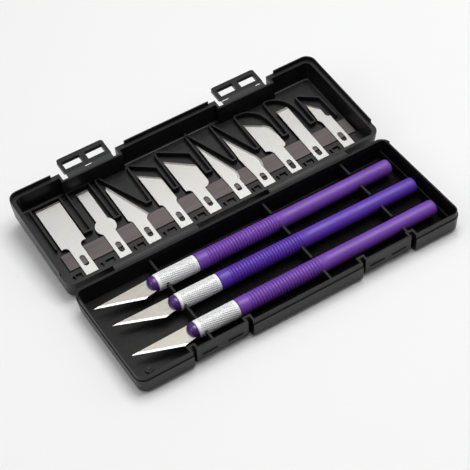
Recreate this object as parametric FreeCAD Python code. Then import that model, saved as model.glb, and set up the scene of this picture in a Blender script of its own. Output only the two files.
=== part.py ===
# Boxed set of hobby craft knives: a hinged two-part case that holds three
# knives in its tray and ten spare blades in its lid.
# Millimetres.  +X runs along the case, +Y from the knives towards the lid, +Z up.
# Origin: centre of the flat underside of the tray.
import FreeCAD, Part
import math
import os

V = FreeCAD.Vector
os.makedirs("parts", exist_ok=True)

# ------------------------------------------------------------ driving sizes
CASE_L = 168.0            # case length
CASE_D = 61.58            # depth of each half, hinge face to front face
HALF_H = 11.5             # height of each half to its rim
CORNER_R = 5.0            # vertical corner radius at the rim
CAVITY_R = 2.6            # corner radius inside the tray
DRAFT = 0.0875            # side draft (5 degrees)
BASE_R = 2.8              # bottom edge rounding
RIM_T = 1.5               # rim width of the tray
LID_RIM_T = 2.65          # rim width of the lid
FLOOR_T = 1.5             # tray floor
BAY_FLOOR = 2.6           # raised floor of the blade bay
HINGE_GAP = 1.39          # hinge line to each half
HINGE_RISE = 0.05         # hinge line above the tray rim
LID_TILT = 5.54           # lid stands this many degrees above level
LIP_T, LIP_H = 0.60, 1.95      # lid lip
STEP_W, STEP_H = 0.75, 2.15    # step in the tray rim that takes the lip
KNIFE_DROP = 4.2          # knife axis below the tray rim
BLADE_T = 0.5

HX = CASE_L / 2
HY2 = CASE_D / 2
HY = HY2 + HINGE_GAP      # y of the hinge line
HZ = HALF_H + HINGE_RISE  # z of the hinge line
KZ = HALF_H - KNIFE_DROP  # knife axis height

# knives: x of the chuck front, y of the axis there, slope dy/dx
KNIVES = [(-49.5, 16.70, 0.0), (-47.2, 1.32, -0.0095), (-48.4, -16.83, 0.0)]
CHUCK_L, CHUCK_R = 20.8, 4.15
NOSE_L, NOSE_R = 3.9, 3.95
BODY_L = 126.2            # chuck front to handle end
COLLET_R, STEM_R = 3.2, 2.0
CHUCK_BORE_R, CHUCK_THREAD_R = 3.28, 2.06
SLIT = 0.60
BLADE_OUT = 26.0          # blade beyond the nose
# spine offset at nose, at tip, per knife
SPINES = [(3.9, 2.7), (4.7, 4.6), (4.2, 3.6)]

RIB_X = [-45.65, 14.4, 57.65]
RIB_T = 1.1
RIB_TOP = HALF_H - 2.1
END_RIB = (79.35, 80.15, HALF_H - 5.2)

# front wall of the tray: recess for each latch, with a deeper slot at each end
RECESS = [(-57.0, -27.2), (29.8, 58.4)]
CATCH_DROP = [6.05, 5.85]  # catch ribs below the rim
RECESS_Y = -29.45
SLOT_W, SLOT_Y = 2.0, -26.95
# webs of the living hinge
WEBS = [(-61.7, -18.1), (20.25, 63.25)]
# lid, in its own flat frame (x, y from the hinge line, z from the hinge line)
LID_RIM = -HINGE_RISE
LID_BOT = LID_RIM - HALF_H
LID_FLOOR = -10.15
LID_D1 = HINGE_GAP + CASE_D
LRECESS = [(-56.55, -26.6), (28.9, 58.3)]
LRECESS_Y, LRECESS_IN = 58.5, 57.35
LIP_GAPS = [(-61.0, -21.6), (25.0, 62.5)]
LIP_START = 9.5
STRIP_TOP = -8.95         # magnetic strip top
BLADE_Z0 = -8.9
RIB_Z = -7.6
LATCH = [  # x0, x1, y0, y1, windows x pairs, window y pair, slots in the strip
    (-54.0, -29.3, 61.55, 71.35, [(-52.4, -43.15), (-40.2, -31.1)], (63.7, 68.7), [(-43.7, -40.2)]),
    (31.2, 55.5, 61.55, 71.1, [(33.2, 41.9), (44.8, 53.7)], (63.6, 68.5), [(31.9, 35.4), (50.9, 53.6)]),
]
LATCH_T = 2.2
LATCH_AX = (61.9, -0.2)

SHAPES = {}


def emit(name, shape):
    """Keep one clean solid under a node name."""
    shape = shape.removeSplitter()
    sol = shape.Solids
    assert len(sol) >= 1, name
    if len(sol) > 1:
        sol = [s for s in sol if s.Volume > 0.02]
    shape = sol[0] if len(sol) == 1 else Part.makeCompound(sol)
    assert shape.isValid(), name
    SHAPES[name] = shape
    return shape


def rr(x0, x1, y0, y1, r, z):
    """Rounded rectangle wire."""
    k = r * (1 - math.sqrt(0.5))
    P = [V(x0 + r, y0, z), V(x1 - r, y0, z), V(x1 - k, y0 + k, z), V(x1, y0 + r, z),
         V(x1, y1 - r, z), V(x1 - k, y1 - k, z), V(x1 - r, y1, z), V(x0 + r, y1, z),
         V(x0 + k, y1 - k, z), V(x0, y1 - r, z), V(x0, y0 + r, z), V(x0 + k, y0 + k, z)]
    e = [Part.makeLine(P[0], P[1]), Part.Arc(P[1], P[2], P[3]).toShape(),
         Part.makeLine(P[3], P[4]), Part.Arc(P[4], P[5], P[6]).toShape(),
         Part.makeLine(P[6], P[7]), Part.Arc(P[7], P[8], P[9]).toShape(),
         Part.makeLine(P[9], P[10]), Part.Arc(P[10], P[11], P[0]).toShape()]
    return Part.Wire(e)


def slab(x0, x1, y0, y1, r, z0, z1):
    return Part.Face(rr(x0, x1, y0, y1, r, z0)).extrude(V(0, 0, z1 - z0))


def tub(x0, x1, y0, y1, r, zb, zt, base_r=0.0):
    """Drafted rounded block: full size at zt, smaller at zb."""
    d = (zt - zb) * DRAFT
    s = Part.makeLoft([rr(x0 + d, x1 - d, y0 + d, y1 - d, r - d * 0.6, zb),
                       rr(x0, x1, y0, y1, r, zt)], True, True)
    if base_r:
        ed = [e for e in s.Edges if abs(e.BoundBox.ZMin - zb) < 1e-4 and abs(e.BoundBox.ZMax - zb) < 1e-4]
        s = s.makeFillet(base_r, ed)
    return s


def box(x0, x1, y0, y1, z0, z1):
    return Part.makeBox(x1 - x0, y1 - y0, z1 - z0, V(x0, y0, z0))


def yz_prism(pts, x0, x1):
    """Polygon in the YZ plane, extruded along X."""
    w = Part.makePolygon([V(x0, y, z) for y, z in pts] + [V(x0, *pts[0])])
    return Part.Face(w).extrude(V(x1 - x0, 0, 0))


def wall(pts, t, z0, z1):
    """Upright wall of thickness t along an open polyline."""
    parts = []
    for (ax, ay), (bx, by) in zip(pts[:-1], pts[1:]):
        L = math.hypot(bx - ax, by - ay)
        nx, ny = -(by - ay) / L * t / 2, (bx - ax) / L * t / 2
        w = Part.makePolygon([V(ax + nx, ay + ny, z0), V(bx + nx, by + ny, z0), V(bx - nx, by - ny, z0),
                              V(ax - nx, ay - ny, z0), V(ax + nx, ay + ny, z0)])
        parts.append(Part.Face(w).extrude(V(0, 0, z1 - z0)))
    for (ax, ay) in pts:
        parts.append(Part.makeCylinder(t / 2, z1 - z0, V(ax, ay, z0)))
    return parts


def outline(pts, z):
    """Closed wire; an entry of four numbers is an arc through (mx, my) to (x, y)."""
    e = []
    last = pts[0][-2:]
    for p in list(pts[1:]) + [pts[0][-2:]]:
        a = V(last[0], last[1], z)
        if len(p) == 4:
            e.append(Part.Arc(a, V(p[0], p[1], z), V(p[2], p[3], z)).toShape())
        else:
            b = V(p[0], p[1], z)
            if a.distanceToPoint(b) > 1e-6:
                e.append(Part.makeLine(a, b))
        last = p[-2:]
    return Part.Wire(e)


def oblong(cx, cy, w, l, z0, z1):
    """Vertical slot-shaped cutter, long way along Y."""
    h = l / 2 - w / 2
    s = Part.makeCylinder(w / 2, z1 - z0, V(cx, cy - h, z0))
    s = s.fuse(Part.makeCylinder(w / 2, z1 - z0, V(cx, cy + h, z0)))
    return s.fuse(box(cx - w / 2, cx + w / 2, cy - h, cy + h, z0, z1))


def to_open(shape):
    """From the lid's flat frame to its place, hinged back and tilted up."""
    s = shape.copy()
    s.rotate(V(0, 0, 0), V(1, 0, 0), LID_TILT)
    s.translate(V(0, HY, HZ))
    return s


def axis_y(k, x):
    x0, y0, m = KNIVES[k]
    return y0 + m * (x - x0)


# ------------------------------------------------------------------ tray
H = HALF_H
outer = tub(-HX, HX, -HY2, HY2, CORNER_R, 0, H, BASE_R)
cav_top = (-HX + RIM_T, HX - RIM_T, -HY2 + RIM_T, HY2 - RIM_T)
cavity = tub(*cav_top, CAVITY_R, FLOOR_T, H, 1.0)
tray = outer.cut(cavity)

# inward bulges of the front wall behind the latch slots
ins = []
for x0, x1 in RECESS:
    ins.append(yz_prism([(-HY2 + 1.0, FLOOR_T - 0.5), (-26.9, FLOOR_T - 0.5), (-27.55, 2.6), (-27.85, 4.0), (-28.45, H), (-HY2 + 1.0, H)], x0 - 0.5, x1 + 0.5))
    for a in (x0, x1 - SLOT_W):
        ins.append(yz_prism([(-HY2 + 1.0, FLOOR_T - 0.5), (SLOT_Y + 1.1 + 0.9, FLOOR_T - 0.5), (SLOT_Y + 1.1, H), (-HY2 + 1.0, H)], a - 1.1, a + SLOT_W + 1.1))
# cross ribs with a cradle for each knife
for rx in RIB_X:
    r = box(rx - RIB_T / 2, rx + RIB_T / 2, -HY2 + 1.0, HY2 - 1.0, FLOOR_T - 0.5, RIB_TOP)
    for k in range(3):
        rad = (CHUCK_R if rx < -30 else (4.15 if rx < 30 else 3.9)) + 0.32
        yk = axis_y(k, rx)
        cut = Part.makeCylinder(rad, 4, V(rx - 2, yk, KZ), V(1, 0, 0)).fuse(box(rx - 2, rx + 2, yk - rad, yk + rad, KZ, H + 1))
        r = r.cut(cut)
    ins.append(r)
ins.append(box(END_RIB[0], END_RIB[1], -HY2 + 1.0, HY2 - 1.0, FLOOR_T - 0.5, END_RIB[2]))
# raised floor of the blade bay, and a small moulding boss in its corner
bay = tub(-HX + 1.0, RIB_X[0], -HY2 + 1.0, HY2 - 1.0, 3.0, FLOOR_T - 0.4, BAY_FLOOR)
ins.append(bay)
ins.append(Part.makeCylinder(2.1, 0.9, V(-74.3, -20.7, BAY_FLOOR - 0.2)).cut(Part.makeCone(0.3, 1.1, 0.5, V(-74.3, -20.7, BAY_FLOOR + 0.3))))
inner_all = ins[0].fuse(ins[1:])
keep = tub(-HX + 0.6, HX - 0.6, -HY2 + 0.6, HY2 - 0.6, CORNER_R - 0.6, FLOOR_T - 0.6, H)
tray = tray.fuse(inner_all.common(keep))
# latch recesses in the outside of the front wall, right through to the underside
for (x0, x1), drop in zip(RECESS, CATCH_DROP):
    c = yz_prism([(-HY2 - 2, -1), (-25.4, -1), (-26.0, 0), (-27.3, 0.75), (-28.15, 1.8), (-28.6, 3.0), (RECESS_Y + DRAFT * (H - 4.4), 4.4),
                  (RECESS_Y - DRAFT, H + 1), (-HY2 - 2, H + 1)], x0, x1)
    for a in (x0, x1 - SLOT_W):
        c = c.fuse(yz_prism([(-HY2 - 2, -1), (SLOT_Y + 0.95, -1), (SLOT_Y, H + 1), (-HY2 - 2, H + 1)], a, a + SLOT_W))
    tray = tray.cut(c)
    # low catch rib that the latch windows drop over
    for a, b in ((x0 + 4.6, x0 + 12.2), (x1 - 12.4, x1 - 4.8)):
        zc = H - drop
        yb = RECESS_Y + DRAFT * (H - zc)
        tray = tray.fuse(yz_prism([(yb + 0.3, zc - 0.45), (yb + 0.3, zc + 0.75), (yb, zc + 0.65), (yb - 0.5, zc + 0.05), (yb - 0.5, zc - 0.35)], a, b))
# step in the rim on the three free sides
ring = slab(-HX - 1, HX + 1, -HY2 - 1, HY2 - 4.5, 1.0, H - STEP_H, H + 1).cut(
    slab(-HX + STEP_W, HX - STEP_W, -HY2 + STEP_W, HY2, CORNER_R - STEP_W, H - STEP_H - 1, H + 2))
# the foot of the step slopes away
slope = slab(-HX - 1, HX + 1, -HY2 - 1, HY2 - 4.5, 1.0, H - STEP_H - 0.8, H - STEP_H + 0.001).cut(
    Part.makeLoft([rr(-HX, HX, -HY2, HY2, CORNER_R, H - STEP_H - 0.8),
                   rr(-HX + STEP_W, HX - STEP_W, -HY2 + STEP_W, HY2, CORNER_R - STEP_W, H - STEP_H + 0.002)], True, True))
tray = tray.cut(ring).cut(slope)
emit("case_tray", tray)

# -------------------------------------------------------- living hinge webs
ct, st = math.cos(math.radians(LID_TILT)), math.sin(math.radians(LID_TILT))


def lidpt(y, z):
    return (HY + y * ct - z * st, HZ + y * st + z * ct)


for name, (x0, x1) in zip(("hinge_web_left", "hinge_web_right"), WEBS):
    pts = [(HY2 + 0.002, H - 0.62), (HY - 0.55, H - 0.52), lidpt(0.55, -0.55), lidpt(HINGE_GAP - 0.02, -0.66),
           lidpt(HINGE_GAP - 0.02, -0.06), lidpt(0.4, -0.12), (HY - 0.4, H - 0.08), (HY2 + 0.002, H - 0.02)]
    emit(name, yz_prism(pts, x0, x1))

# ------------------------------------------------------------------ lid
lo = tub(-HX, HX, HINGE_GAP, LID_D1, CORNER_R, LID_BOT, LID_RIM, BASE_R)
lin = LID_RIM_T
lc = (-HX + lin, HX - lin, HINGE_GAP + 1.75, LID_D1 - lin)
lcav = tub(*lc, 3.0, LID_FLOOR, LID_RIM, 1.0)
lid = lo.cut(lcav)
li = []
# wall behind each latch, set back
for x0, x1 in LRECESS:
    li.append(yz_prism([(LID_D1 - 1.5, LID_FLOOR - 0.5), (LRECESS_IN - 0.9, LID_FLOOR - 0.5), (LRECESS_IN, LID_RIM), (LID_D1 - 1.5, LID_RIM)], x0 - 1.15, x1 + 1.15))
# shelf under the tang ends; between two tangs it has a short slot and an angled slot
SHELF_Y = 14.85
sh = box(-HX + 1.5, HX - 1.5, HINGE_GAP + 1.0, SHELF_Y, LID_FLOOR - 0.4, STRIP_TOP)
TANGS = [-68.4, -50.9, -35.6, -18.75, -3.1, 13.1, 26.6, 41.7, 56.8, 71.7]
gaps = [(-78.9, TANGS[0] - 3.1)] + [(p + 3.1, q - 3.1) for p, q in zip(TANGS[:-1], TANGS[1:])]
for p, q in gaps:
    w = q - p
    if w > 7.2:
        sh = sh.cut(box(p + 0.19 * w, p + 0.19 * w + 1.2, 9.2, 12.2, LID_FLOOR, STRIP_TOP + 1))
    a0, a1 = p + 0.42 * w, p + 0.82 * w
    sh = sh.cut(box(a0, a1, 11.0, 12.5, LID_FLOOR, STRIP_TOP + 1)).cut(box(a1 - 1.2, a1, 8.6, 12.5, LID_FLOOR, STRIP_TOP + 1))
li.append(sh)
# thin pocket ribs round the spare blades
RIBS = [
    [(-76.35, 56.5), (-76.45, 29.5)],
    [(-76.35, 56.5), (-60.95, 56.6), (-60.95, 31.0), (-57.25, 31.0), (-57.25, 56.6), (-45.2, 56.6), (-44.85, 31.0), (-41.9, 31.0)],
    [(-41.9, 31.0), (-41.9, 56.0), (-40.4, 57.7), (-28.1, 30.95), (-25.6, 30.95), (-25.0, 54.8), (-24.15, 55.9), (-13.0, 47.4),
     (-12.9, 31.3), (-10.5, 31.3), (-10.0, 54.6), (-8.8, 55.9), (4.7, 46.6), (5.0, 31.5), (7.9, 31.5), (8.2, 57.0), (8.9, 58.3),
     (19.5, 30.9), (21.3, 31.2), (21.5, 56.5), (22.5, 57.6), (32.4, 31.2), (34.2, 31.2), (34.4, 54.3), (35.1, 55.0), (38.5, 54.9), (41.5, 53.9), (44.3, 51.9), (46.4, 49.0), (47.5, 45.5), (47.9, 42.0),
     (48.0, 31.2), (50.9, 31.2), (51.3, 54.2), (52.0, 54.9), (55.2, 54.6), (58.0, 53.2), (60.6, 50.6), (62.3, 47.2), (63.1, 43.5), (63.4, 40.0), (63.4, 30.8), (66.4, 30.8), (66.7, 49.3),
     (68.0, 49.6), (76.7, 43.1), (77.2, 28.7)],
]
for pl in RIBS:
    li += wall(pl, 0.9, LID_FLOOR - 0.3, RIB_Z)
# posts that carry the blade bodies
POSTS = [(-68.2, 42), (-50.3, 44), (-37.2, 36), (-19.0, 38), (-2.8, 38), (12.2, 34), (25.4, 33), (41.2, 37), (57.2, 38), (70.4, 34)]
for x, y in POSTS:
    li.append(Part.makeCylinder(1.2, BLADE_Z0 - 0.05 - LID_FLOOR + 0.3, V(x, y, LID_FLOOR - 0.3)))
lkeep = tub(-HX + 0.9, HX - 0.9, HINGE_GAP + 0.6, LID_D1 - 0.9, CORNER_R - 0.8, LID_FLOOR - 0.4, LID_RIM)
lid = lid.fuse(li[0].fuse(li[1:]).common(lkeep))
for x0, x1 in LRECESS:
    lid = lid.cut(yz_prism([(LID_D1 + 2, LID_BOT - 1), (LRECESS_Y - 0.98, LID_BOT - 1), (LRECESS_Y, LID_RIM + 1), (LID_D1 + 2, LID_RIM + 1)], x0, x1))
# raised lip round the outer edge, open at the latches and near the hinge
lip = slab(-HX, HX, HINGE_GAP, LID_D1, CORNER_R, LID_RIM - 0.3, LID_RIM + LIP_H).cut(
    slab(-HX + LIP_T, HX - LIP_T, HINGE_GAP, LID_D1 - LIP_T, CORNER_R - LIP_T, LID_RIM - 1, LID_RIM + LIP_H + 1))
lip = lip.cut(box(-HX - 1, HX + 1, HINGE_GAP - 1, LIP_START, -5, 5))
for a, b in LIP_GAPS:
    lip = lip.cut(box(a, b, LID_D1 - 4, LID_D1 + 2, -5, 5))
lip = lip.common(box(-HX - 1, HX + 1, 0, LID_D1 + 1, LID_RIM - 0.2, LID_RIM + LIP_H))
lip_keep = tub(-HX, HX, HINGE_GAP, LID_D1, CORNER_R, LID_BOT, LID_RIM).fuse(slab(-HX, HX, HINGE_GAP, LID_D1, CORNER_R, LID_RIM, LID_RIM + 5))
lid = lid.fuse(lip.common(lip_keep))
emit("case_lid", to_open(lid))

# ------------------------------------------------- latches and their strips
for side, (x0, x1, y0, y1, wins, (wy0, wy1), slots) in zip(("left", "right"), LATCH):
    top = LID_RIM
    p = slab(x0, x1, y0 - 3, y1, 1.3, top - LATCH_T, top)
    p = p.common(box(x0 - 1, x1 + 1, y0, y1 + 1, top - LATCH_T - 1, top + 1))
    for a, b in wins:
        p = p.cut(box(a, b, wy0, wy1, top - LATCH_T - 1, top + 1))
    # underside relieved beside the crease, finger bead along the free edge
    p = p.cut(yz_prism([(61.4, -0.55), (61.4, -2.5), (63.0, -2.5)], x0 - 1, x1 + 1))
    p = p.fuse(yz_prism([(y1 - 1.5, top - LATCH_T + 0.3), (y1 - 0.35, top - LATCH_T + 0.3), (y1 - 0.6, top - LATCH_T - 0.5), (y1 - 1.3, top - LATCH_T - 0.5)], x0 + 1.5, x1 - 1.5))
    emit("latch_" + side, to_open(p))
    s = box(x0 + 0.3, x1 - 0.3, LRECESS_Y + 0.01, LATCH_AX[0] - 0.5, top - 0.6, top - 0.05)
    for a, b in slots:
        s = s.cut(box(a, b, 60.35, LATCH_AX[0] - 0.75, -3, 3))
    emit("latch_strip_" + side, to_open(s))

# ------------------------------------------------------- magnetic strip
emit("magnet_strip", to_open(box(-76.6, 79.6, 15.65, 25.5, LID_FLOOR + 0.005, STRIP_TOP)))

# --------------------------------------------------------- spare blades
SPARE = {
    "spare_wide_chisel_blade": ([(-74.45, 55.15), (-61.9, 55.15), (-61.95, 27.9), (-64.5, 27.6, -65.3, 25.6), (-65.3, 9.2), (-71.5, 9.2), (-71.5, 25.6), (-72.3, 27.6, -74.5, 27.9)], (-68.4, 17.4, 2.6, 6.5)),
    "spare_narrow_chisel_blade": ([(-53.3, 54.1), (-47.4, 54.1), (-47.45, 33.6), (-45.5, 29.6, -47.85, 25.3), (-47.85, 9.2), (-54.0, 9.2), (-54.0, 25.7), (-55.75, 29.6, -53.3, 33.9)], (-50.9, 15.4, 2.6, 6.5)),
    "spare_pointed_blade": ([(-39.1, 50.6), (-29.9, 25.4), (-31.2, 24.6, -32.4, 23.0), (-32.4, 9.15), (-38.9, 9.15), (-38.9, 23.8), (-39.2, 25.2, -40.4, 26.2), (-40.3, 48.4)], (-35.6, 15.8, 2.6, 6.3)),
    "spare_small_angled_blade": ([(-23.5, 48.8), (-14.5, 41.4), (-14.4, 26.2), (-15.2, 25.3, -15.55, 24.0), (-15.55, 9.1), (-21.95, 9.1), (-21.95, 24.2), (-22.4, 25.8, -23.5, 26.6)], (-18.75, 15.6, 2.6, 6.4)),
    "spare_large_angled_blade": ([(-8.8, 49.6), (3.4, 39.45), (3.45, 28.7), (3.1, 26.4, 0.0, 24.6), (0.0, 9.1), (-6.3, 9.1), (-6.3, 25.0), (-7.0, 26.6, -8.8, 27.2)], (-3.1, 16.4, 2.6, 6.5)),
    "spare_curved_point_blade_a": ([(9.9, 49.8), (17.5, 26.4), (17.6, 23.0, 16.3, 19.6), (16.3, 9.05), (10.0, 9.05), (10.05, 19.3), (9.5, 29.5)], (13.1, 16.2, 2.6, 4.9)),
    "spare_curved_point_blade_b": ([(23.0, 46.7), (30.9, 27.4), (31.0, 23.5, 29.75, 20.0), (29.75, 9.0), (23.5, 9.0), (23.55, 18.0), (22.6, 29.4)], (26.6, 15.1, 2.6, 5.1)),
    "spare_large_curved_blade": ([(35.7, 48.45), (42.9, 43.45), (45.8, 41.1, 46.6, 38.0), (46.6, 27.4), (45.9, 26.2, 44.6, 25.6), (44.6, 9.0), (38.8, 9.0), (38.8, 24.0), (37.6, 26.8, 35.75, 27.6)], (41.7, 14.4, 2.6, 6.4)),
    "spare_straight_blade": ([(54.0, 47.0), (60.3, 47.0), (60.0, 9.0), (53.7, 9.0)], (56.8, 14.7, 2.6, 6.4)),
    "spare_hooked_blade": ([(68.6, 43.2), (73.1, 37.5), (72.95, 33.0), (73.3, 31.2, 74.8, 30.4), (74.6, 9.0), (68.75, 9.0), (68.85, 27.7), (68.5, 29.6, 67.8, 30.8)], (71.75, 15.8, 2.6, 6.3)),
}
for name, (pts, (sx, sy, sw, sl)) in SPARE.items():
    b = Part.Face(outline(pts, BLADE_Z0)).extrude(V(0, 0, BLADE_T))
    b = b.cut(oblong(sx, sy, sw, sl, BLADE_Z0 - 1, BLADE_Z0 + 1.5))
    emit(name, to_open(b))

# ---------------------------------------------------------------- knives
# each knife is built along +X from its chuck front at the origin, then placed


def revolve(pts):
    """Profile (x, r) turned about the X axis."""
    w = Part.makePolygon([V(x, r, 0) for x, r in pts] + [V(pts[0][0], pts[0][1], 0)])
    return Part.Face(w).revolve(V(0, 0, 0), V(1, 0, 0), 360)


def handle():
    a = CHUCK_L + 0.12
    g0 = a + 5.6                      # start of the grip rings
    n, pitch = 25, 1.46
    pts = [(a, CHUCK_THREAD_R + 0.06), (a, 4.05), (a + 0.25, 4.25), (g0, 4.22)]
    for i in range(n):
        x = g0 + i * pitch
        r = 4.24 - 0.0045 * i
        pts += [(x, r - 0.38), (x + 0.14, r - 0.22), (x + 0.36, r - 0.06), (x + 0.62, r), (x + 0.84, r), (x + 1.10, r - 0.06), (x + 1.32, r - 0.22)]
    e = g0 + n * pitch
    pts += [(e, 3.80), (e + 0.15, 3.96), (e + 0.7, 3.98), (e + 0.85, 4.12), (e + 1.5, 4.12), (e + 1.65, 3.98)]
    end = BODY_L
    pts += [(end - 30, 3.76), (end - 1.6, 3.74), (end - 0.75, 3.50), (end - 0.25, 3.05), (end, 2.3), (end, 0)]
    pts += [(a + 11.0, 0), (a + 9.8, CHUCK_THREAD_R + 0.06)]
    return revolve(pts)


def chuck():
    # knurled sleeve: wide bore round the jaws, threaded bore behind, thin lands at both ends
    pts = [(0.0, CHUCK_BORE_R), (0.0, CHUCK_R - 0.25), (0.3, CHUCK_R), (1.5, CHUCK_R), (1.7, CHUCK_R - 0.12),
           (CHUCK_L - 1.4, CHUCK_R - 0.12), (CHUCK_L - 1.2, CHUCK_R), (CHUCK_L - 0.3, CHUCK_R), (CHUCK_L, CHUCK_R - 0.25),
           (CHUCK_L, CHUCK_THREAD_R), (15.0, CHUCK_THREAD_R), (14.4, CHUCK_BORE_R)]
    return revolve(pts)


def collet():
    g = -0.06
    pts = [(28.6, 0), (28.6, STEM_R - 0.3), (28.3, STEM_R), (15.1, STEM_R), (13.6, 2.6), (13.0, COLLET_R), (g, COLLET_R), (g, NOSE_R - 0.35), (g - 0.35, NOSE_R)]
    for t in (12, 26, 40, 54, 68, 80):
        a = math.radians(t)
        pts.append((g - 1.2 - (NOSE_L - 1.2) * math.sin(a), NOSE_R * math.cos(a) ** 0.8))
    pts.append((g - NOSE_L, 0))
    c = revolve(pts)
    return c.cut(box(-NOSE_L - 1, 12.4, -6, 6, -SLIT / 2, SLIT / 2))


def knife_blade(k):
    s0, s1 = SPINES[k]
    n = -NOSE_L
    tip = (n - BLADE_OUT, s1)
    belly = (n - 4.3, s0 - 9.25)
    heel = (n + 1.6, s0 - 8.2)
    pts = [tip, (n + 1.8, s0), (n + 2.6, 3.0), (n + 15.6, 3.0), (n + 15.6, -3.0), (n + 2.6, -3.0), heel, belly]
    return Part.Face(outline(pts, -BLADE_T / 2)).extrude(V(0, 0, BLADE_T))


for k, (x0, y0, m) in enumerate(KNIVES):
    tag = "knife_%d_" % (k + 1)
    for nm, sh_ in (("handle", handle()), ("chuck", chuck()), ("collet", collet()), ("blade", knife_blade(k))):
        sh_ = sh_.copy()
        sh_.rotate(V(0, 0, 0), V(0, 0, 1), math.degrees(math.atan(m)))
        sh_.translate(V(x0, y0, KZ))
        emit(tag + nm, sh_)

for name, shape in SHAPES.items():
    shape.exportStep("parts/%s.step" % name)
    bb = shape.BoundBox
    print("%-28s vol %9.2f  faces %3d  solids %d  x %.2f..%.2f y %.2f..%.2f z %.2f..%.2f" % (
        name, shape.Volume, len(shape.Faces), len(shape.Solids), bb.XMin, bb.XMax, bb.YMin, bb.YMax, bb.ZMin, bb.ZMax))
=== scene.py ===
import bpy
import bmesh
import math
from mathutils import Matrix, Vector


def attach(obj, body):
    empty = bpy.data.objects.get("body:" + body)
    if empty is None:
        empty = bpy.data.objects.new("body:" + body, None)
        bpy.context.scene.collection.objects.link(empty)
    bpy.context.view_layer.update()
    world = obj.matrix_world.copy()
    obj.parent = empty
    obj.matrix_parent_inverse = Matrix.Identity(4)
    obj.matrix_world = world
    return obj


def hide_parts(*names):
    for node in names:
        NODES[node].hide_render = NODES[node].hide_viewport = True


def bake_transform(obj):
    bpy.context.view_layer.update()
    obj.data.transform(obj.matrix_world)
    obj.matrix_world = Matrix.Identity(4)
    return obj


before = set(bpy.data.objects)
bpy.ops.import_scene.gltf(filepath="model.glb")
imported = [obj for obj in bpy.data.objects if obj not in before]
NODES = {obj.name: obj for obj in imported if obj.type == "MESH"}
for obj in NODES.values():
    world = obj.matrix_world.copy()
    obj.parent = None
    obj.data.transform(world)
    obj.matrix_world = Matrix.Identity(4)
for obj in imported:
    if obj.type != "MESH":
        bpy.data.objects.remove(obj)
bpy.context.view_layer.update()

MM = 0.001

# ------------------------------------------------------------ the same sizes as the CAD, in mm
CASE_D, HALF_H, HINGE_GAP, LID_TILT = 61.58, 11.5, 1.39, 5.54
HY = CASE_D / 2 + HINGE_GAP
HZ = HALF_H + 0.05
KZ = 7.3
KNIVES = [(-49.5, 16.70, 0.0), (-47.2, 1.32, -0.0095), (-48.4, -16.83, 0.0)]
CHUCK_L, CHUCK_R, NOSE_L, BODY_L = 20.8, 4.15, 3.9, 126.2
BLADE_T, BLADE_Z0, BLADE_OUT = 0.5, -8.9, 26.0
SPINES = [(3.9, 2.7), (4.7, 4.6), (4.2, 3.6)]
LID_ROT = Matrix.Translation((0, HY, HZ)) @ Matrix.Rotation(math.radians(LID_TILT), 4, "X")


# ------------------------------------------------------------ materials
def new_mat(name):
    m = bpy.data.materials.new(name)
    m.use_nodes = True
    nt = m.node_tree
    nt.nodes.clear()
    out = nt.nodes.new("ShaderNodeOutputMaterial")
    b = nt.nodes.new("ShaderNodeBsdfPrincipled")
    nt.links.new(b.outputs[0], out.inputs[0])
    return m, nt, b


def noise(nt, scale, detail=4.0, rough=0.5, stretch=(1, 1, 1)):
    tc = nt.nodes.new("ShaderNodeTexCoord")
    mp = nt.nodes.new("ShaderNodeMapping")
    mp.inputs["Scale"].default_value = stretch
    n = nt.nodes.new("ShaderNodeTexNoise")
    n.inputs["Scale"].default_value = scale
    n.inputs["Detail"].default_value = detail
    n.inputs["Roughness"].default_value = rough
    nt.links.new(tc.outputs["Object"], mp.inputs["Vector"])
    nt.links.new(mp.outputs[0], n.inputs["Vector"])
    return n.outputs["Fac"]


def ramp(nt, fac, stops):
    r = nt.nodes.new("ShaderNodeValToRGB")
    els = r.color_ramp.elements
    while len(els) < len(stops):
        els.new(0.5)
    for e, (p, c) in zip(els, stops):
        e.position = p
        e.color = (c, c, c, 1) if isinstance(c, float) else (*c, 1)
    nt.links.new(fac, r.inputs[0])
    return r.outputs[0]


def mixc(nt, fac, a, b, mode="MIX"):
    m = nt.nodes.new("ShaderNodeMix")
    m.data_type = "RGBA"
    m.blend_type = mode
    for s, v in ((0, fac), (6, a), (7, b)):
        if isinstance(v, (int, float)):
            m.inputs[s].default_value = v
        elif isinstance(v, tuple):
            m.inputs[s].default_value = (*v, 1)
        else:
            nt.links.new(v, m.inputs[s])
    return m.outputs[2]


def bump(nt, b, height, strength, dist, prev=None):
    n = nt.nodes.new("ShaderNodeBump")
    n.inputs["Strength"].default_value = strength
    n.inputs["Distance"].default_value = dist
    nt.links.new(height, n.inputs["Height"])
    if prev is not None:
        nt.links.new(prev, n.inputs["Normal"])
    nt.links.new(n.outputs[0], b.inputs["Normal"])
    return n.outputs[0]


def inside_mask(nt, lo, hi):
    """1 inside a box in object space (metres), 0 outside."""
    tc = nt.nodes.new("ShaderNodeTexCoord")
    sp = nt.nodes.new("ShaderNodeSeparateXYZ")
    nt.links.new(tc.outputs["Object"], sp.inputs[0])
    out = None
    for ax, a, b in zip("XYZ", lo, hi):
        for op, v in (("GREATER_THAN", a), ("LESS_THAN", b)):
            m = nt.nodes.new("ShaderNodeMath"); m.operation = op
            nt.links.new(sp.outputs[ax], m.inputs[0]); m.inputs[1].default_value = v
            if out is None:
                out = m.outputs[0]
            else:
                q = nt.nodes.new("ShaderNodeMath"); q.operation = "MULTIPLY"
                nt.links.new(out, q.inputs[0]); nt.links.new(m.outputs[0], q.inputs[1])
                out = q.outputs[0]
    return out


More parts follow.
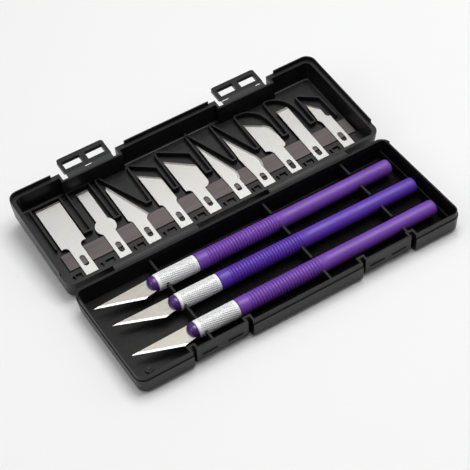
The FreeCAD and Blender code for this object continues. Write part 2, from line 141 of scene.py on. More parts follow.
def plastic(name, col, pale, rough, grain=0.25, wear=0.14, spec=0.36, painted_shade_box=None):
    """Moulded plastic: fine spark-eroded grain, faint flow clouds, pale rubbed specks; inside an optional box the
    specular level drops, which paints shade there.
    """
    m, nt, b = new_mat(name)
    big = noise(nt, 55, 3)
    fine = noise(nt, 3200, 2)
    scratch = noise(nt, 700, 3, 0.6, (0.12, 1, 1))
    b.inputs["Specular IOR Level"].default_value = spec
    # painted shade: inside this box the specular level falls to 0.06, so the surfaces there read darker, as if in shade
    if painted_shade_box:
        nt.links.new(ramp(nt, inside_mask(nt, *painted_shade_box), [(0.0, spec), (1.0, 0.06)]), b.inputs["Specular IOR Level"])
    c1 = mixc(nt, ramp(nt, big, [(0.35, 0.0), (0.75, 1.0)]), tuple(x * 0.82 for x in col), tuple(x * 1.25 for x in col))
    spot = ramp(nt, noise(nt, 1500, 3), [(0.45, 0.0), (0.7, 1.0)])
    wm2 = nt.nodes.new("ShaderNodeMath"); wm2.operation = "MULTIPLY"
    nt.links.new(spot, wm2.inputs[0]); wm2.inputs[1].default_value = wear
    nt.links.new(mixc(nt, wm2.outputs[0], c1, pale), b.inputs["Base Color"])
    nt.links.new(ramp(nt, scratch, [(0.3, rough - 0.06), (0.7, rough + 0.08)]), b.inputs["Roughness"])
    p = bump(nt, b, fine, grain, 0.00006)
    bump(nt, b, scratch, 0.05, 0.0001, p)
    return m


def steel(name, col, rough, stretch, dark=0.80, spec=0.5):
    """Ground and polished blade steel with fine draw lines and faint smudges."""
    m, nt, b = new_mat(name)
    b.inputs["Metallic"].default_value = 1.0
    lines = noise(nt, 900, 4, 0.6, stretch)
    cloud = noise(nt, 90, 3)
    c = mixc(nt, ramp(nt, lines, [(0.3, 0.0), (0.7, 1.0)]), tuple(x * dark for x in col), col)
    c = mixc(nt, ramp(nt, cloud, [(0.45, 0.0), (0.8, 0.25)]), c, (col[0] * 0.95, col[1] * 0.88, col[2] * 0.78))
    nt.links.new(c, b.inputs["Base Color"])
    nt.links.new(ramp(nt, lines, [(0.25, rough + 0.10), (0.75, rough - 0.05)]), b.inputs["Roughness"])
    bump(nt, b, lines, 0.05, 0.00003)
    return m


M_CASE = plastic("case_black", (0.0042, 0.0042, 0.0046), (0.060, 0.060, 0.062), 0.34)
# the tray's box covers its floor and inner walls below the knives, to paint the shade under the knife handles
M_TRAY = plastic("tray_black", (0.0042, 0.0042, 0.0046), (0.060, 0.060, 0.062), 0.34,
                 painted_shade_box=((-0.0450, -0.0284, 0.0010), (0.0822, 0.0293, 0.0088)))
M_HINGE = plastic("hinge_black", (0.022, 0.022, 0.023), (0.07, 0.07, 0.07), 0.50, 0.3, 0.4)
M_BLADE = steel("blade_satin", (0.57, 0.565, 0.54), 0.33, (1, 0.25, 1), 0.93)
M_BLADE_K = steel("knife_blade_satin", (0.70, 0.665, 0.605), 0.30, (0.25, 1, 1), 0.93)
M_EDGE = steel("blade_ground_edge", (0.62, 0.61, 0.59), 0.34, (1, 0.3, 1), 0.96)
M_EDGE_K = steel("knife_ground_edge", (0.60, 0.59, 0.57), 0.34, (0.3, 1, 1), 0.96)


def magnet():
    """Flexible magnet sheet: brown-grey, matte, lightly streaked."""
    m, nt, b = new_mat("magnet_sheet")
    st = noise(nt, 420, 4, 0.6, (0.05, 1, 1))
    sp = noise(nt, 2400, 3)
    c = mixc(nt, ramp(nt, st, [(0.3, 0.0), (0.7, 1.0)]), (0.085, 0.066, 0.064), (0.125, 0.100, 0.097))
    c = mixc(nt, ramp(nt, sp, [(0.6, 0.0), (0.8, 0.35)]), c, (0.17, 0.145, 0.14))
    nt.links.new(c, b.inputs["Base Color"])
    nt.links.new(ramp(nt, sp, [(0.3, 0.52), (0.7, 0.68)]), b.inputs["Roughness"])
    bump(nt, b, sp, 0.3, 0.00006)
    return m


M_MAG = magnet()


def purple(name, lo, hi, rough, metallic=0.0, coat=0.0):
    """Dyed satin handle: faint cloudy tone, fine turned lines, small handling marks."""
    m, nt, b = new_mat(name)
    b.inputs["Metallic"].default_value = metallic
    b.inputs["Coat Weight"].default_value = coat
    b.inputs["Coat Roughness"].default_value = 0.30
    b.inputs["Specular IOR Level"].default_value = 0.5
    cl = noise(nt, 70, 4)
    turn = noise(nt, 1500, 3, 0.6, (1, 0.08, 0.08))
    mark = noise(nt, 520, 5, 0.7, (0.25, 1, 1))
    c = mixc(nt, ramp(nt, cl, [(0.3, 0.0), (0.7, 1.0)]), lo, hi)
    c = mixc(nt, ramp(nt, mark, [(0.66, 0.0), (0.80, 0.22)]), c, tuple(min(1, x * 1.9 + 0.03) for x in hi))
    nt.links.new(c, b.inputs["Base Color"])
    nt.links.new(ramp(nt, mark, [(0.3, rough - 0.05), (0.75, rough + 0.12)]), b.inputs["Roughness"])
    p = bump(nt, b, turn, 0.12, 0.00004)
    bump(nt, b, mark, 0.05, 0.00008, p)
    return m


M_HANDLE = [purple("handle_purple_a", (0.140, 0.038, 0.340), (0.172, 0.050, 0.400), 0.42, 0.0, 0.1),
            purple("handle_purple_b", (0.080, 0.022, 0.350), (0.104, 0.032, 0.410), 0.42, 0.0, 0.1),
            purple("handle_purple_c", (0.140, 0.038, 0.340), (0.172, 0.050, 0.400), 0.42, 0.0, 0.1)]
M_NOSE = purple("collet_purple", (0.050, 0.012, 0.13), (0.075, 0.018, 0.19), 0.28, 0.25, 0.4)


def chuck_metal():
    """Bright aluminium with painted shade: the valleys of the knurl are painted darker."""
    m, nt, b = new_mat("chuck_knurled_aluminium")
    b.inputs["Metallic"].default_value = 0.15
    g = nt.nodes.new("ShaderNodeNewGeometry")
    # painted shade: low pointiness (the knurl valleys) pulls the colour down to dark grey 0.36, standing in for shade
    # in the valleys
    v = ramp(nt, g.outputs["Pointiness"], [(0.42, 0.0), (0.49, 1.0)])
    n = noise(nt, 1200, 3)
    c = mixc(nt, v, (0.36, 0.36, 0.37), (0.97, 0.97, 0.97))
    c = mixc(nt, ramp(nt, n, [(0.5, 0.0), (0.8, 0.12)]), c, (0.80, 0.80, 0.82))
    nt.links.new(c, b.inputs["Base Color"])
    nt.links.new(ramp(nt, n, [(0.3, 0.24), (0.7, 0.36)]), b.inputs["Roughness"])
    bump(nt, b, n, 0.08, 0.00004)
    return m


M_CHUCK = chuck_metal()


# ------------------------------------------------------------ mesh helpers
def to_obj(name, bm, mats, smooth_deg=32.0):
    me = bpy.data.meshes.new(name)
    bmesh.ops.recalc_face_normals(bm, faces=bm.faces)
    bm.to_mesh(me)
    bm.free()
    for m in mats:
        me.materials.append(m)
    o = bpy.data.objects.new(name, me)
    bpy.context.scene.collection.objects.link(o)
    for p in me.polygons:
        p.use_smooth = True
    me.set_sharp_from_angle(angle=math.radians(smooth_deg))
    return o


def place(o, mat4):
    """Scale mm to m after placing in the row frame."""
    o.data.transform(Matrix.Scale(MM, 4) @ mat4)
    return o


def knife_frame(k):
    x0, y0, s = KNIVES[k]
    return Matrix.Translation((x0, y0, KZ)) @ Matrix.Rotation(math.atan(s), 4, "Z")


def softened(node, width, segs=2, angle=35.0, mats=None, name=None):
    """Copy of a CAD node with its flats cleaned up and its edges rounded."""
    src = NODES[node]
    bm = bmesh.new()
    bm.from_mesh(src.data)
    bmesh.ops.remove_doubles(bm, verts=bm.verts, dist=2e-6)
    bmesh.ops.dissolve_limit(bm, angle_limit=math.radians(0.8), use_dissolve_boundaries=False,
                             verts=bm.verts, edges=bm.edges, delimit={"NORMAL"})
    bmesh.ops.dissolve_degenerate(bm, dist=2e-6, edges=bm.edges)
    o = to_obj(name or (node + "_look"), bm, mats or [M_CASE], 180)
    md = o.modifiers.new("bevel", "BEVEL")
    md.width = width * MM
    md.segments = segs
    md.limit_method = "ANGLE"
    md.angle_limit = math.radians(angle)
    md.use_clamp_overlap = True
    md.harden_normals = False
    dg = bpy.context.evaluated_depsgraph_get()
    me = bpy.data.meshes.new_from_object(o.evaluated_get(dg))
    o.modifiers.clear()
    o.data = me
    for p in me.polygons:
        p.use_smooth = True
    me.set_sharp_from_angle(angle=math.radians(33))
    # large flats keep their own normal
    wn = o.modifiers.new("flats", "WEIGHTED_NORMAL")
    wn.mode = "FACE_AREA"
    wn.weight = 100
    wn.keep_sharp = True
    dg = bpy.context.evaluated_depsgraph_get()
    me = bpy.data.meshes.new_from_object(o.evaluated_get(dg))
    o.modifiers.clear()
    o.data = me
    return o


def lathe(name, pts, n, mats, smooth=40.0):
    """Profile (x, r) in mm turned about X. Ends with r = 0 close to a point."""
    bm = bmesh.new()
    rings = []
    for x, r in pts:
        if r < 1e-6:
            rings.append([bm.verts.new((x, 0, 0))])
        else:
            rings.append([bm.verts.new((x, r * math.cos(2 * math.pi * i / n), r * math.sin(2 * math.pi * i / n))) for i in range(n)])
    for a, b in zip(rings[:-1], rings[1:]):
        for i in range(n):
            j = (i + 1) % n
            if len(a) == 1 and len(b) == 1:
                continue
            if len(a) == 1:
                bm.faces.new((a[0], b[j], b[i]))
            elif len(b) == 1:
                bm.faces.new((a[i], a[j], b[0]))
            else:
                bm.faces.new((a[i], a[j], b[j], b[i]))
    return to_obj(name, bm, mats, smooth)


def ease(pts, n=4):
    """Round the corners of a profile a little by Chaikin cuts."""
    out = [pts[0]]
    for a, b in zip(pts[:-1], pts[1:]):
        out.append((a[0] * 0.78 + b[0] * 0.22, a[1] * 0.78 + b[1] * 0.22))
        out.append((a[0] * 0.22 + b[0] * 0.78, a[1] * 0.22 + b[1] * 0.78))
    out.append(pts[-1])
    return out


# ------------------------------------------------------------ knife handles
def handle_profile():
    a = CHUCK_L + 0.12
    g0 = a + 5.6
    n, pitch = 25, 1.46
    pts = [(a, 3.9), (a + 0.10, 4.10), (a + 0.25, 4.2), (a + 1.0, 4.24), (g0 - 0.3, 4.22), (g0, 4.20)]
    for i in range(n):
        x = g0 + i * pitch
        r = 4.24 - 0.0045 * i
        pts += [(x, r - 0.40), (x + 0.07, r - 0.33), (x + 0.16, r - 0.21), (x + 0.28, r - 0.11), (x + 0.44, r - 0.035), (x + 0.62, r),
                (x + 0.84, r), (x + 1.02, r - 0.035), (x + 1.18, r - 0.11), (x + 1.30, r - 0.21), (x + 1.39, r - 0.33)]
    e = g0 + n * pitch
    pts += [(e, 3.78), (e + 0.08, 3.90), (e + 0.18, 3.97), (e + 0.60, 3.98), (e + 0.78, 4.04), (e + 0.92, 4.11), (e + 1.42, 4.11),
            (e + 1.56, 4.05), (e + 1.75, 3.97), (e + 6.0, 3.94), (e + 20, 3.85)]
    end = BODY_L
    pts += [(end - 30, 3.76), (end - 12, 3.745), (end - 1.9, 3.74), (end - 1.3, 3.68), (end - 0.8, 3.52), (end - 0.42, 3.22), (end - 0.15, 2.75),
            (end - 0.03, 2.2), (end, 1.2), (end, 0)]
    return [(a, 2.2)] + pts


def knurl(k):
    """Diamond knurled sleeve with a plain rounded land at each end."""
    N, per = 24, 1.20
    nth = N * 8
    x_a, x_b = 1.35, CHUCK_L - 1.15
    nx = int(round((x_b - x_a) / (per / 8)))
    base = CHUCK_R - 0.36
    bm = bmesh.new()

    def ring(x, rf):
        return [bm.verts.new((x, rf(t) * math.cos(t), rf(t) * math.sin(t))) for t in (2 * math.pi * i / nth for i in range(nth))]

    rings = []
    land = [(0.0, 3.30), (0.0, 3.72), (0.08, 3.90), (0.24, 4.05), (0.45, 4.13), (0.9, 4.14), (1.12, 4.12), (1.22, 4.02)]
    for x, r in land:
        rings.append(ring(x, lambda t, r=r: r))
    for i in range(nx + 1):
        x = x_a + (x_b - x_a) * i / nx
        fade = min(1.0, min(i, nx - i) / 3.0)

        def rf(t, x=x, fade=fade):
            u = N * t / (2 * math.pi)
            f1 = (u + x / per) % 1.0
            f2 = (u - x / per) % 1.0
            g = max(abs(2 * f1 - 1), abs(2 * f2 - 1)) ** 4
            return base + 0.34 * (1 - g * fade) * (0.7 + 0.3 * fade)
        rings.append(ring(x, rf))
    L = CHUCK_L
    for x, r in [(L - 1.05, 4.02), (L - 0.95, 4.12), (L - 0.45, 4.14), (L - 0.25, 4.10), (L - 0.08, 3.98), (L, 3.85), (L, 2.2)]:
        rings.append(ring(x, lambda t, r=r: r))
    for a, b in zip(rings[:-1], rings[1:]):
        for i in range(nth):
            j = (i + 1) % nth
            bm.faces.new((a[i], a[j], b[j], b[i]))
    # bore, so that the sleeve is a closed ring
    bore = [rings[-1]]
    for x, r in [(14.9, 2.2), (14.4, 3.30)]:
        bore.append(ring(x, lambda t, r=r: r))
    bore.append(rings[0])
    for a, b in zip(bore[:-1], bore[1:]):
        for i in range(nth):
            j = (i + 1) % nth
            bm.faces.new((a[i], a[j], b[j], b[i]))
    return to_obj("knife_%d_knurl" % (k + 1), bm, [M_CHUCK], 50)


def collet_half(bm, sgn):
    """One half of the domed split nose with its jaws, built as stacked half rings."""
    g = -0.06
    prof = [(g, 3.2), (g, 3.75), (g - 0.10, 3.88), (g - 0.30, 3.93), (g - 0.8, 3.94)]
    for t in (8, 18, 28, 38, 48, 58, 67, 76, 83):
        a = math.radians(t)
        prof.append((g - 1.0 - (NOSE_L - 1.0) * math.sin(a), 3.94 * math.cos(a) ** 0.8))
    prof.append((g - NOSE_L, 0.0))
    n, half = 40, 0.30
    rows = []
    for x, r in prof:
        row = []
        if r <= half + 0.02:
            r = half + 0.02
        a0 = math.asin(half / r)
        for i in range(n + 1):
            t = a0 + (math.pi - 2 * a0) * i / n
            z = r * math.sin(t)
            row.append(bm.verts.new((x, r * math.cos(t), sgn * z)))
        rows.append(row)
    for a, b in zip(rows[:-1], rows[1:]):
        for i in range(n):
            bm.faces.new((a[i], a[i + 1], b[i + 1], b[i]))
    # slit wall and back
    ring = [r[0] for r in rows] + [r[-1] for r in reversed(rows)]
    bm.faces.new(ring)
    bm.faces.new(rows[0])
    bm.faces.new(rows[-1])


def collet(k):
    bm = bmesh.new()
    collet_half(bm, 1)
    collet_half(bm, -1)
    bmesh.ops.remove_doubles(bm, verts=bm.verts, dist=1e-5)
    o = to_obj("knife_%d_nose" % (k + 1), bm, [M_NOSE], 40)
    # jaws and stem behind it
    bm = bmesh.new()
    bm.from_mesh(o.data)
    stem = [(-0.06, 3.18), (12.9, 3.18), (13.6, 2.6), (15.1, 1.98), (28.3, 1.98), (28.6, 1.7)]
    n = 48
    for sgn in (1, -1):
        rows = []
        for x, r in stem[:3]:
            a0 = math.asin(0.30 / r)
            rows.append([bm.verts.new((min(x, 12.4), r * math.cos(a0 + (math.pi - 2 * a0) * i / 24), sgn * r * math.sin(a0 + (math.pi - 2 * a0) * i / 24))) for i in range(25)])
            if x > 12.4:
                break
        for a, b in zip(rows[:-1], rows[1:]):
            for i in range(24):
                bm.faces.new((a[i], a[i + 1], b[i + 1], b[i]))
            bm.faces.new((a[0], b[0], b[-1], a[-1]))
        bm.faces.new(rows[0]); bm.faces.new(rows[-1])
    rows = []
    for x, r in [(12.4, 3.18)] + stem[1:]:
        rows.append([bm.verts.new((x, r * math.cos(2 * math.pi * i / n), r * math.sin(2 * math.pi * i / n))) for i in range(n)])
    for a, b in zip(rows[:-1], rows[1:]):
        for i in range(n):
            j = (i + 1) % n
            bm.faces.new((a[i], a[j], b[j], b[i]))
    bm.faces.new(rows[0]); bm.faces.new(rows[-1])
    bmesh.ops.recalc_face_normals(bm, faces=bm.faces)
    bm.to_mesh(o.data)
    bm.free()
    for p in o.data.polygons:
        p.use_smooth = True
    o.data.set_sharp_from_angle(angle=math.radians(40))
    return o


# ------------------------------------------------------------ blades with ground edges
def sample(pts, n=10):
    """Outline with arcs (four numbers: through point, end point) -> points and edge numbers."""
    out, idx = [pts[0][-2:]], []
    last = pts[0][-2:]
    for k, p in enumerate(list(pts[1:]) + [pts[0][-2:]]):
        if len(p) == 4:
            (ax, ay), (mx, my), (bx, by) = last, p[:2], p[2:]
            d = 2 * (ax * (my - by) + mx * (by - ay) + bx * (ay - my))
            ux = ((ax**2 + ay**2) * (my - by) + (mx**2 + my**2) * (by - ay) + (bx**2 + by**2) * (ay - my)) / d
            uy = ((ax**2 + ay**2) * (bx - mx) + (mx**2 + my**2) * (ax - bx) + (bx**2 + by**2) * (mx - ax)) / d
            r = math.hypot(ax - ux, ay - uy)
            a0, am, a1 = (math.atan2(y - uy, x - ux) for x, y in ((ax, ay), (mx, my), (bx, by)))
            def rel(a, s):
                v = (a - a0) * s
                return v % (2 * math.pi)
            s = 1 if rel(am, 1) < rel(a1, 1) else -1
            tot = rel(a1, s)
            for i in range(1, n + 1):
                a = a0 + s * tot * i / n
                out.append((ux + r * math.cos(a), uy + r * math.sin(a)))
                idx.append(k)
            last = p[2:]
        else:
            if math.hypot(p[0] - last[0], p[1] - last[1]) > 1e-6:
                out.append(tuple(p))
                idx.append(k)
            last = tuple(p)
    return out[:-1], idx


def inset(P, W):
    """Move each edge inwards by its own width and intersect neighbours."""
    n = len(P)
    area = sum(P[i][0] * P[(i + 1) % n][1] - P[(i + 1) % n][0] * P[i][1] for i in range(n))
    s = 1 if area > 0 else -1
    L = []
    for i in range(n):
        (ax, ay), (bx, by) = P[i], P[(i + 1) % n]
        l = math.hypot(bx - ax, by - ay)
        dx, dy = (bx - ax) / l, (by - ay) / l
        nx, ny = -dy * s, dx * s
        L.append((ax + nx * W[i], ay + ny * W[i], dx, dy))
    Q = []
    for i in range(n):
        x1, y1, d1x, d1y = L[i - 1]
        x2, y2, d2x, d2y = L[i]
        det = d1x * d2y - d1y * d2x
        if abs(det) < 0.02:
            Q.append(((x2 + x1 + 0 * d1x) / 2 if False else x2, y2))
            continue
        t = ((x2 - x1) * d2y - (y2 - y1) * d2x) / det
        q = (x1 + t * d1x, y1 + t * d1y)
        lim = 3.5 * max(W[i - 1], W[i]) + 1e-6
        v = (q[0] - P[i][0], q[1] - P[i][1])
        l = math.hypot(*v)
        if l > lim:
            q = (P[i][0] + v[0] / l * lim, P[i][1] + v[1] / l * lim)
        Q.append(q)
    return Q


def blade_mesh(name, pts, ground, hole, zc, T, mats):
    """Flat blade: ground[edge number] = width of the ground band; other edges get a fine chamfer."""
    P, idx = sample(pts)
    small = 0.05
    W = [ground.get(k, small) for k in idx]
    G = [k in ground for k in idx]
    n = len(P)
    Q = inset(P, W)
    bm = bmesh.new()
    top_o, bot_o, top_i, bot_i = [], [], [], []
    for i in range(n):
        t = 0.03 if (G[i] or G[i - 1]) else T / 2 - small
        top_o.append(bm.verts.new((P[i][0], P[i][1], zc + t)))
        bot_o.append(bm.verts.new((P[i][0], P[i][1], zc - t)))
        top_i.append(bm.verts.new((Q[i][0], Q[i][1], zc + T / 2)))
        bot_i.append(bm.verts.new((Q[i][0], Q[i][1], zc - T / 2)))
    for i in range(n):
        j = (i + 1) % n
        for f in ((top_i[i], top_i[j], top_o[j], top_o[i]), (bot_i[j], bot_i[i], bot_o[i], bot_o[j])):
            fc = bm.faces.new(f)
            fc.material_index = 1 if G[i] else 0
        bm.faces.new((top_o[i], top_o[j], bot_o[j], bot_o[i])).material_index = 1 if G[i] else 0
    hole_t, hole_b = [], []
    if hole:
        cx, cy, w, l = hole
        h, r = l / 2 - w / 2, w / 2
        hp = [(cx + r * math.cos(a), cy + h + r * math.sin(a)) for a in (math.pi * i / 14 for i in range(15))]
        hp += [(cx - r * math.cos(a), cy - h - r * math.sin(a)) for a in (math.pi * i / 14 for i in range(15))]
        m = len(hp)
        lv = []
        for dz, gr in ((T / 2, small), (T / 2 - small, 0), (-T / 2 + small, 0), (-T / 2, small)):
            row = []
            for x, y in hp:
                dx, dy = x - cx, y - cy
                dy0 = dy - h if dy > h else (dy + h if dy < -h else 0)
                d = math.hypot(dx, dy0) or 1
                row.append(bm.verts.new((x + dx / d * gr, y + dy0 / d * gr, zc + dz)))
            lv.append(row)
        for a, b in zip(lv[:-1], lv[1:]):
            for i in range(m):
                bm.faces.new((a[i], a[(i + 1) % m], b[(i + 1) % m], b[i]))
        hole_t, hole_b = lv[0], lv[-1]
    bm.edges.ensure_lookup_table()
    for loop, hl in ((top_i, hole_t), (bot_i, hole_b)):
        es = []
        for lp in (loop, hl):
            for i in range(len(lp)):
                e = bm.edges.get((lp[i], lp[(i + 1) % len(lp)])) or bm.edges.new((lp[i], lp[(i + 1) % len(lp)]))
                es.append(e)
        bmesh.ops.triangle_fill(bm, use_beauty=True, use_dissolve=False, edges=es)
    bmesh.ops.remove_doubles(bm, verts=bm.verts, dist=2e-3)
    bmesh.ops.dissolve_degenerate(bm, dist=1e-3, edges=bm.edges)
    return to_obj(name, bm, mats, 8)


SPARE = {
    "spare_wide_chisel_blade": ([(-74.45, 55.15), (-61.9, 55.15), (-61.95, 27.9), (-64.5, 27.6, -65.3, 25.6), (-65.3, 9.2), (-71.5, 9.2), (-71.5, 25.6), (-72.3, 27.6, -74.5, 27.9)], (-68.4, 17.4, 2.6, 6.5), {0: 1.3}),
    "spare_narrow_chisel_blade": ([(-53.3, 54.1), (-47.4, 54.1), (-47.45, 33.6), (-45.5, 29.6, -47.85, 25.3), (-47.85, 9.2), (-54.0, 9.2), (-54.0, 25.7), (-55.75, 29.6, -53.3, 33.9)], (-50.9, 15.4, 2.6, 6.5), {0: 1.5}),
    "spare_pointed_blade": ([(-39.1, 50.6), (-29.9, 25.4), (-31.2, 24.6, -32.4, 23.0), (-32.4, 9.15), (-38.9, 9.15), (-38.9, 23.8), (-39.2, 25.2, -40.4, 26.2), (-40.3, 48.4)], (-35.6, 15.8, 2.6, 6.3), {0: 1.2}),
    "spare_small_angled_blade": ([(-23.5, 48.8), (-14.5, 41.4), (-14.4, 26.2), (-15.2, 25.3, -15.55, 24.0), (-15.55, 9.1), (-21.95, 9.1), (-21.95, 24.2), (-22.4, 25.8, -23.5, 26.6)], (-18.75, 15.6, 2.6, 6.4), {0: 1.2}),
    "spare_large_angled_blade": ([(-8.8, 49.6), (3.4, 39.45), (3.45, 28.7), (3.1, 26.4, 0.0, 24.6), (0.0, 9.1), (-6.3, 9.1), (-6.3, 25.0), (-7.0, 26.6, -8.8, 27.2)], (-3.1, 16.4, 2.6, 6.5), {0: 1.3}),
    "spare_curved_point_blade_a": ([(9.9, 49.8), (17.5, 26.4), (17.6, 23.0, 16.3, 19.6), (16.3, 9.05), (10.0, 9.05), (10.05, 19.3), (9.5, 29.5)], (13.1, 16.2, 2.6, 4.9), {0: 1.1, 1: 1.1}),
    "spare_curved_point_blade_b": ([(23.0, 46.7), (30.9, 27.4), (31.0, 23.5, 29.75, 20.0), (29.75, 9.0), (23.5, 9.0), (23.55, 18.0), (22.6, 29.4)], (26.6, 15.1, 2.6, 5.1), {0: 1.1, 1: 1.1}),
    "spare_large_curved_blade": ([(35.7, 48.45), (42.9, 43.45), (45.8, 41.1, 46.6, 38.0), (46.6, 27.4), (45.9, 26.2, 44.6, 25.6), (44.6, 9.0), (38.8, 9.0), (38.8, 24.0), (37.6, 26.8, 35.75, 27.6)], (41.7, 14.4, 2.6, 6.4), {0: 1.3, 1: 1.3}),
    "spare_straight_blade": ([(54.0, 47.0), (60.3, 47.0), (60.0, 9.0), (53.7, 9.0)], (56.8, 14.7, 2.6, 6.4), {0: 1.5}),
    "spare_hooked_blade": ([(68.6, 43.2), (73.1, 37.5), (72.95, 33.0), (73.3, 31.2, 74.8, 30.4), (74.6, 9.0), (68.75, 9.0), (68.85, 27.7), (68.5, 29.6, 67.8, 30.8)], (71.75, 15.8, 2.6, 6.3), {0: 1.0}),
}
for node, (pts, hole, ground) in SPARE.items():
    o = blade_mesh(node + "_look", pts, ground, hole, BLADE_Z0 + BLADE_T / 2, BLADE_T, [M_BLADE, M_EDGE])
    place(o, LID_ROT)
    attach(o, node)
    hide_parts(node)

# ------------------------------------------------------------ knives
for k in range(3):
    t = "knife_%d_" % (k + 1)
    F = knife_frame(k)
    h = place(lathe(t + "grip", handle_profile(), 72, [M_HANDLE[k]], 60), F)
    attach(h, "knife_%d" % (k + 1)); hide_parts(t + "handle")
    c = place(knurl(k), F)
    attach(c, t + "chuck"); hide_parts(t + "chuck")
    q = place(collet(k), F)
    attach(q, t + "collet"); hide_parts(t + "collet")
    s0, s1 = SPINES[k]
    n = -NOSE_L
    pts = [(n - BLADE_OUT, s1), (n + 1.8, s0), (n + 2.6, 3.0), (n + 15.6, 3.0), (n + 15.6, -3.0), (n + 2.6, -3.0), (n + 1.6, s0 - 8.2), (n - 4.3, s0 - 9.25)]
    b = place(blade_mesh(t + "edge", pts, {7: 0.95}, None, 0.0, BLADE_T, [M_BLADE_K, M_EDGE_K]), F)
    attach(b, t + "blade"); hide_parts(t + "blade")

# ------------------------------------------------------------ case
for node, body, w in (("case_tray", "tray", 0.14), ("case_lid", "lid", 0.14), ("latch_left", "latch_left", 0.18), ("latch_right", "latch_right", 0.18)):
    o = softened(node, w, mats=[M_TRAY if node == "case_tray" else M_CASE])
    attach(o, body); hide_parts(node)
mag = softened("magnet_strip", 0.12, 2, mats=[M_MAG])
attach(mag, "lid"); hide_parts("magnet_strip")


# ------------------------------------------------------------ living hinges
def web(name, x0, x1, prof_fn, nseg, thick_fn, node, slots=()):
    """Thin web: a strip along X, with a neutral line (y, z) sampled in nseg steps and a thickness."""
    bm = bmesh.new()
    xs = [x0, x0 + 0.25, x1 - 0.25, x1]
    rows = []
    for i in range(nseg + 1):
        u = i / nseg
        y, z, ny, nz = prof_fn(u)
        th = thick_fn(u) / 2
        row = []
        for x, f in zip(xs, (0.55, 1, 1, 0.55)):
            row.append((bm.verts.new((x, y + ny * th * f, z + nz * th * f)), bm.verts.new((x, y - ny * th * f, z - nz * th * f))))
        rows.append(row)
    for r0, r1 in zip(rows[:-1], rows[1:]):
        for j in range(3):
            bm.faces.new((r0[j][0], r0[j + 1][0], r1[j + 1][0], r1[j][0]))
            bm.faces.new((r0[j][1], r1[j][1], r1[j + 1][1], r0[j + 1][1]))
        bm.faces.new((r0[0][0], r1[0][0], r1[0][1], r0[0][1]))
        bm.faces.new((r0[3][0], r0[3][1], r1[3][1], r1[3][0]))
    for r in (rows[0], rows[-1]):
        for j in range(3):
            bm.faces.new((r[j][0], r[j][1], r[j + 1][1], r[j + 1][0]))
    o = to_obj(name, bm, [M_HINGE], 45)
    o.data.transform(Matrix.Scale(MM, 4))
    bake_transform(o)
    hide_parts(node)
    return o


ct, st = math.cos(math.radians(LID_TILT)), math.sin(math.radians(LID_TILT))


def lid_pt(y, z):
    return (HY + y * ct - z * st, HZ + y * st + z * ct)


for node, x0, x1 in (("hinge_web_left", -61.7, -18.1), ("hinge_web_right", 20.25, 63.25)):
    A, B = (CASE_D / 2 - 0.10, HALF_H - 0.36), lid_pt(HINGE_GAP + 0.08, -0.38)
    C = (HY, HZ - 0.42)

    def prof(u, A=A, B=B, C=C):
        y = (1 - u) ** 2 * A[0] + 2 * u * (1 - u) * C[0] + u * u * B[0]
        z = (1 - u) ** 2 * A[1] + 2 * u * (1 - u) * C[1] + u * u * B[1]
        dy = 2 * (1 - u) * (C[0] - A[0]) + 2 * u * (B[0] - C[0])
        dz = 2 * (1 - u) * (C[1] - A[1]) + 2 * u * (B[1] - C[1])
        l = math.hypot(dy, dz)
        return y, z, -dz / l, dy / l

    web(node + "_skin", x0, x1, prof, 24, lambda u: 0.58 - 0.22 * math.sin(math.pi * u) ** 2,
        node)

for node, body, x0, x1 in (("latch_strip_left", "latch_left", -53.7, -29.6), ("latch_strip_right", "latch_right", 31.5, 55.2)):
    A, B = lid_pt(58.45, -0.34), lid_pt(61.66, -0.30)

    def prof(u, A=A, B=B):
        return A[0] + (B[0] - A[0]) * u, A[1] + (B[1] - A[1]) * u, -(B[1] - A[1]) / 3.2, (B[0] - A[0]) / 3.2

    # the see-through slots split the strip into bands at its outer edge
    gaps = [(-43.7, -40.2)] if body == "latch_left" else [(31.9, 35.4), (50.9, 53.6)]
    bm = bmesh.new()
    u_cut = (60.40 - 58.45) / (61.66 - 58.45)
    xs = sorted(set([x0, x0 + 0.2, x1 - 0.2, x1] + [g for p in gaps for g in p]))
    us = [0.0, 0.3, u_cut] + [u_cut + (1 - u_cut) * i / 8 for i in range(1, 9)]
    V3 = {}
    for i, u in enumerate(us):
        y, z, ny, nz = prof(u)
        th = 0.22 if u < 0.75 else 0.22 - 0.06 * (u - 0.75) / 0.25
        for j, x in enumerate(xs):
            V3[i, j, 0] = bm.verts.new((x, y + ny * th, z + nz * th))
            V3[i, j, 1] = bm.verts.new((x, y - ny * th, z - nz * th))

    def solid(i, j):
        if not (0 <= i < len(us) - 1 and 0 <= j < len(xs) - 1):
            return False
        xm, um = (xs[j] + xs[j + 1]) / 2, (us[i] + us[i + 1]) / 2
        return not (any(p < xm < q for p, q in gaps) and u_cut < um < 0.86)

    for i in range(len(us) - 1):
        for j in range(len(xs) - 1):
            if not solid(i, j):
                continue
            bm.faces.new((V3[i, j, 0], V3[i, j + 1, 0], V3[i + 1, j + 1, 0], V3[i + 1, j, 0]))
            bm.faces.new((V3[i, j, 1], V3[i + 1, j, 1], V3[i + 1, j + 1, 1], V3[i, j + 1, 1]))
            for di, dj, p, q in ((-1, 0, (i, j), (i, j + 1)), (1, 0, (i + 1, j), (i + 1, j + 1)), (0, -1, (i, j), (i + 1, j)), (0, 1, (i, j + 1), (i + 1, j + 1))):
                if not solid(i + di, j + dj):
                    bm.faces.new((V3[p + (0,)], V3[q + (0,)], V3[q + (1,)], V3[p + (1,)]))
    loose = [v for v in bm.verts if not v.link_faces]
    bmesh.ops.delete(bm, geom=loose, context="VERTS")
    o = to_obj(node + "_skin", bm, [M_HINGE], 40)
    o.data.transform(Matrix.Scale(MM, 4))
    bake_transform(o)
    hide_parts(node)

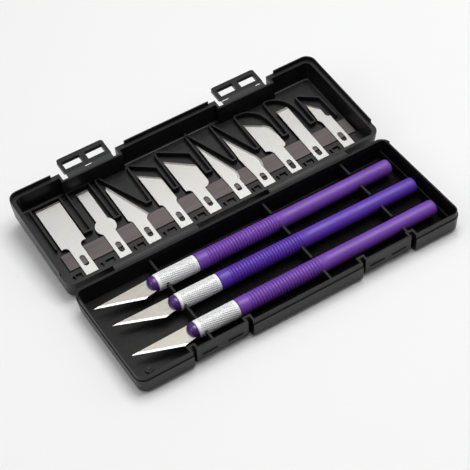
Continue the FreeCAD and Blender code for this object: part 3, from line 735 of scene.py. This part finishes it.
# ------------------------------------------------------------ floor
bm = bmesh.new()
S, zf = 1.6, -0.00005
grid = []
for i in range(9):
    grid.append([bm.verts.new((-S + 2 * S * i / 8, -S + 2 * S * j / 8, zf)) for j in range(9)])
for i in range(8):
    for j in range(8):
        bm.faces.new((grid[i][j], grid[i + 1][j], grid[i + 1][j + 1], grid[i][j + 1]))
m, nt, b = new_mat("floor_paper")
nt.links.new(mixc(nt, noise(nt, 6, 3), (0.83, 0.83, 0.83), (0.85, 0.85, 0.85)), b.inputs["Base Color"])
b.inputs["Roughness"].default_value = 0.75
floor = to_obj("floor", bm, [m])

# ------------------------------------------------------------ light
w = bpy.data.worlds.new("world")
bpy.context.scene.world = w
w.use_nodes = True
bg = w.node_tree.nodes["Background"]
# soft overhead light: brighter towards the zenith, dimmer in front of the case
wt = w.node_tree
tc = wt.nodes.new("ShaderNodeTexCoord")
sp = wt.nodes.new("ShaderNodeSeparateXYZ")
wt.links.new(tc.outputs["Generated"], sp.inputs[0])
up_r = ramp(wt, sp.outputs["Z"], [(0.0, 0.34), (0.45, 0.28), (0.66, 0.32), (0.76, 0.52), (0.84, 0.84), (0.93, 1.0)])
half = wt.nodes.new("ShaderNodeMath"); half.operation = "MULTIPLY_ADD"
wt.links.new(sp.outputs["Y"], half.inputs[0]); half.inputs[1].default_value = 0.5; half.inputs[2].default_value = 0.5
side_r = ramp(wt, half.outputs[0], [(0.30, 0.55), (0.50, 1.0)])
wt.links.new(mixc(wt, 1.0, up_r, side_r, "MULTIPLY"), bg.inputs[0])
bg.inputs[1].default_value = 1.05


def area(name, loc, target, size, power, col=(1, 1, 1), size_y=None):
    d = bpy.data.lights.new(name, "AREA")
    d.shape = "RECTANGLE"
    d.size, d.size_y = size, size_y or size
    d.energy = power
    d.color = col
    o = bpy.data.objects.new(name, d)
    bpy.context.scene.collection.objects.link(o)
    v = Vector(target) - Vector(loc)
    o.location = loc
    o.rotation_euler = v.to_track_quat("-Z", "Y").to_euler()
    return o


area("key", (0.25, 0.07, 1.0), (0, 0.03, 0), 0.7, 6.2, (1, 1, 1), 0.56)
area("fill", (0.7, -0.35, 0.6), (0, 0, 0), 0.6, 0.8)
area("left", (-0.75, 0.05, 0.5), (0, 0, 0), 0.5, 1.0)

# ------------------------------------------------------------ camera
R = [[0.850513, -0.51921, -0.083955], [0.427901, 0.590266, 0.684461], [0.305823, 0.618068, -0.724199]]
right, up, fwd = (Vector(r).normalized() for r in R)
cam_d = bpy.data.cameras.new("camera")
cam = bpy.data.objects.new("camera", cam_d)
bpy.context.scene.collection.objects.link(cam)
C = Vector((-221.422, -415.395, 518.843)) * MM
cam.matrix_world = Matrix(((right.x, up.x, -fwd.x, C.x), (right.y, up.y, -fwd.y, C.y), (right.z, up.z, -fwd.z, C.z), (0, 0, 0, 1)))
cam_d.sensor_width = 36.0
cam_d.lens = 1555.04 * 36 / 470
cam_d.clip_start = 0.01
bpy.context.scene.camera = cam
bpy.context.scene.view_settings.view_transform = "Standard"

bpy.context.view_layer.update()
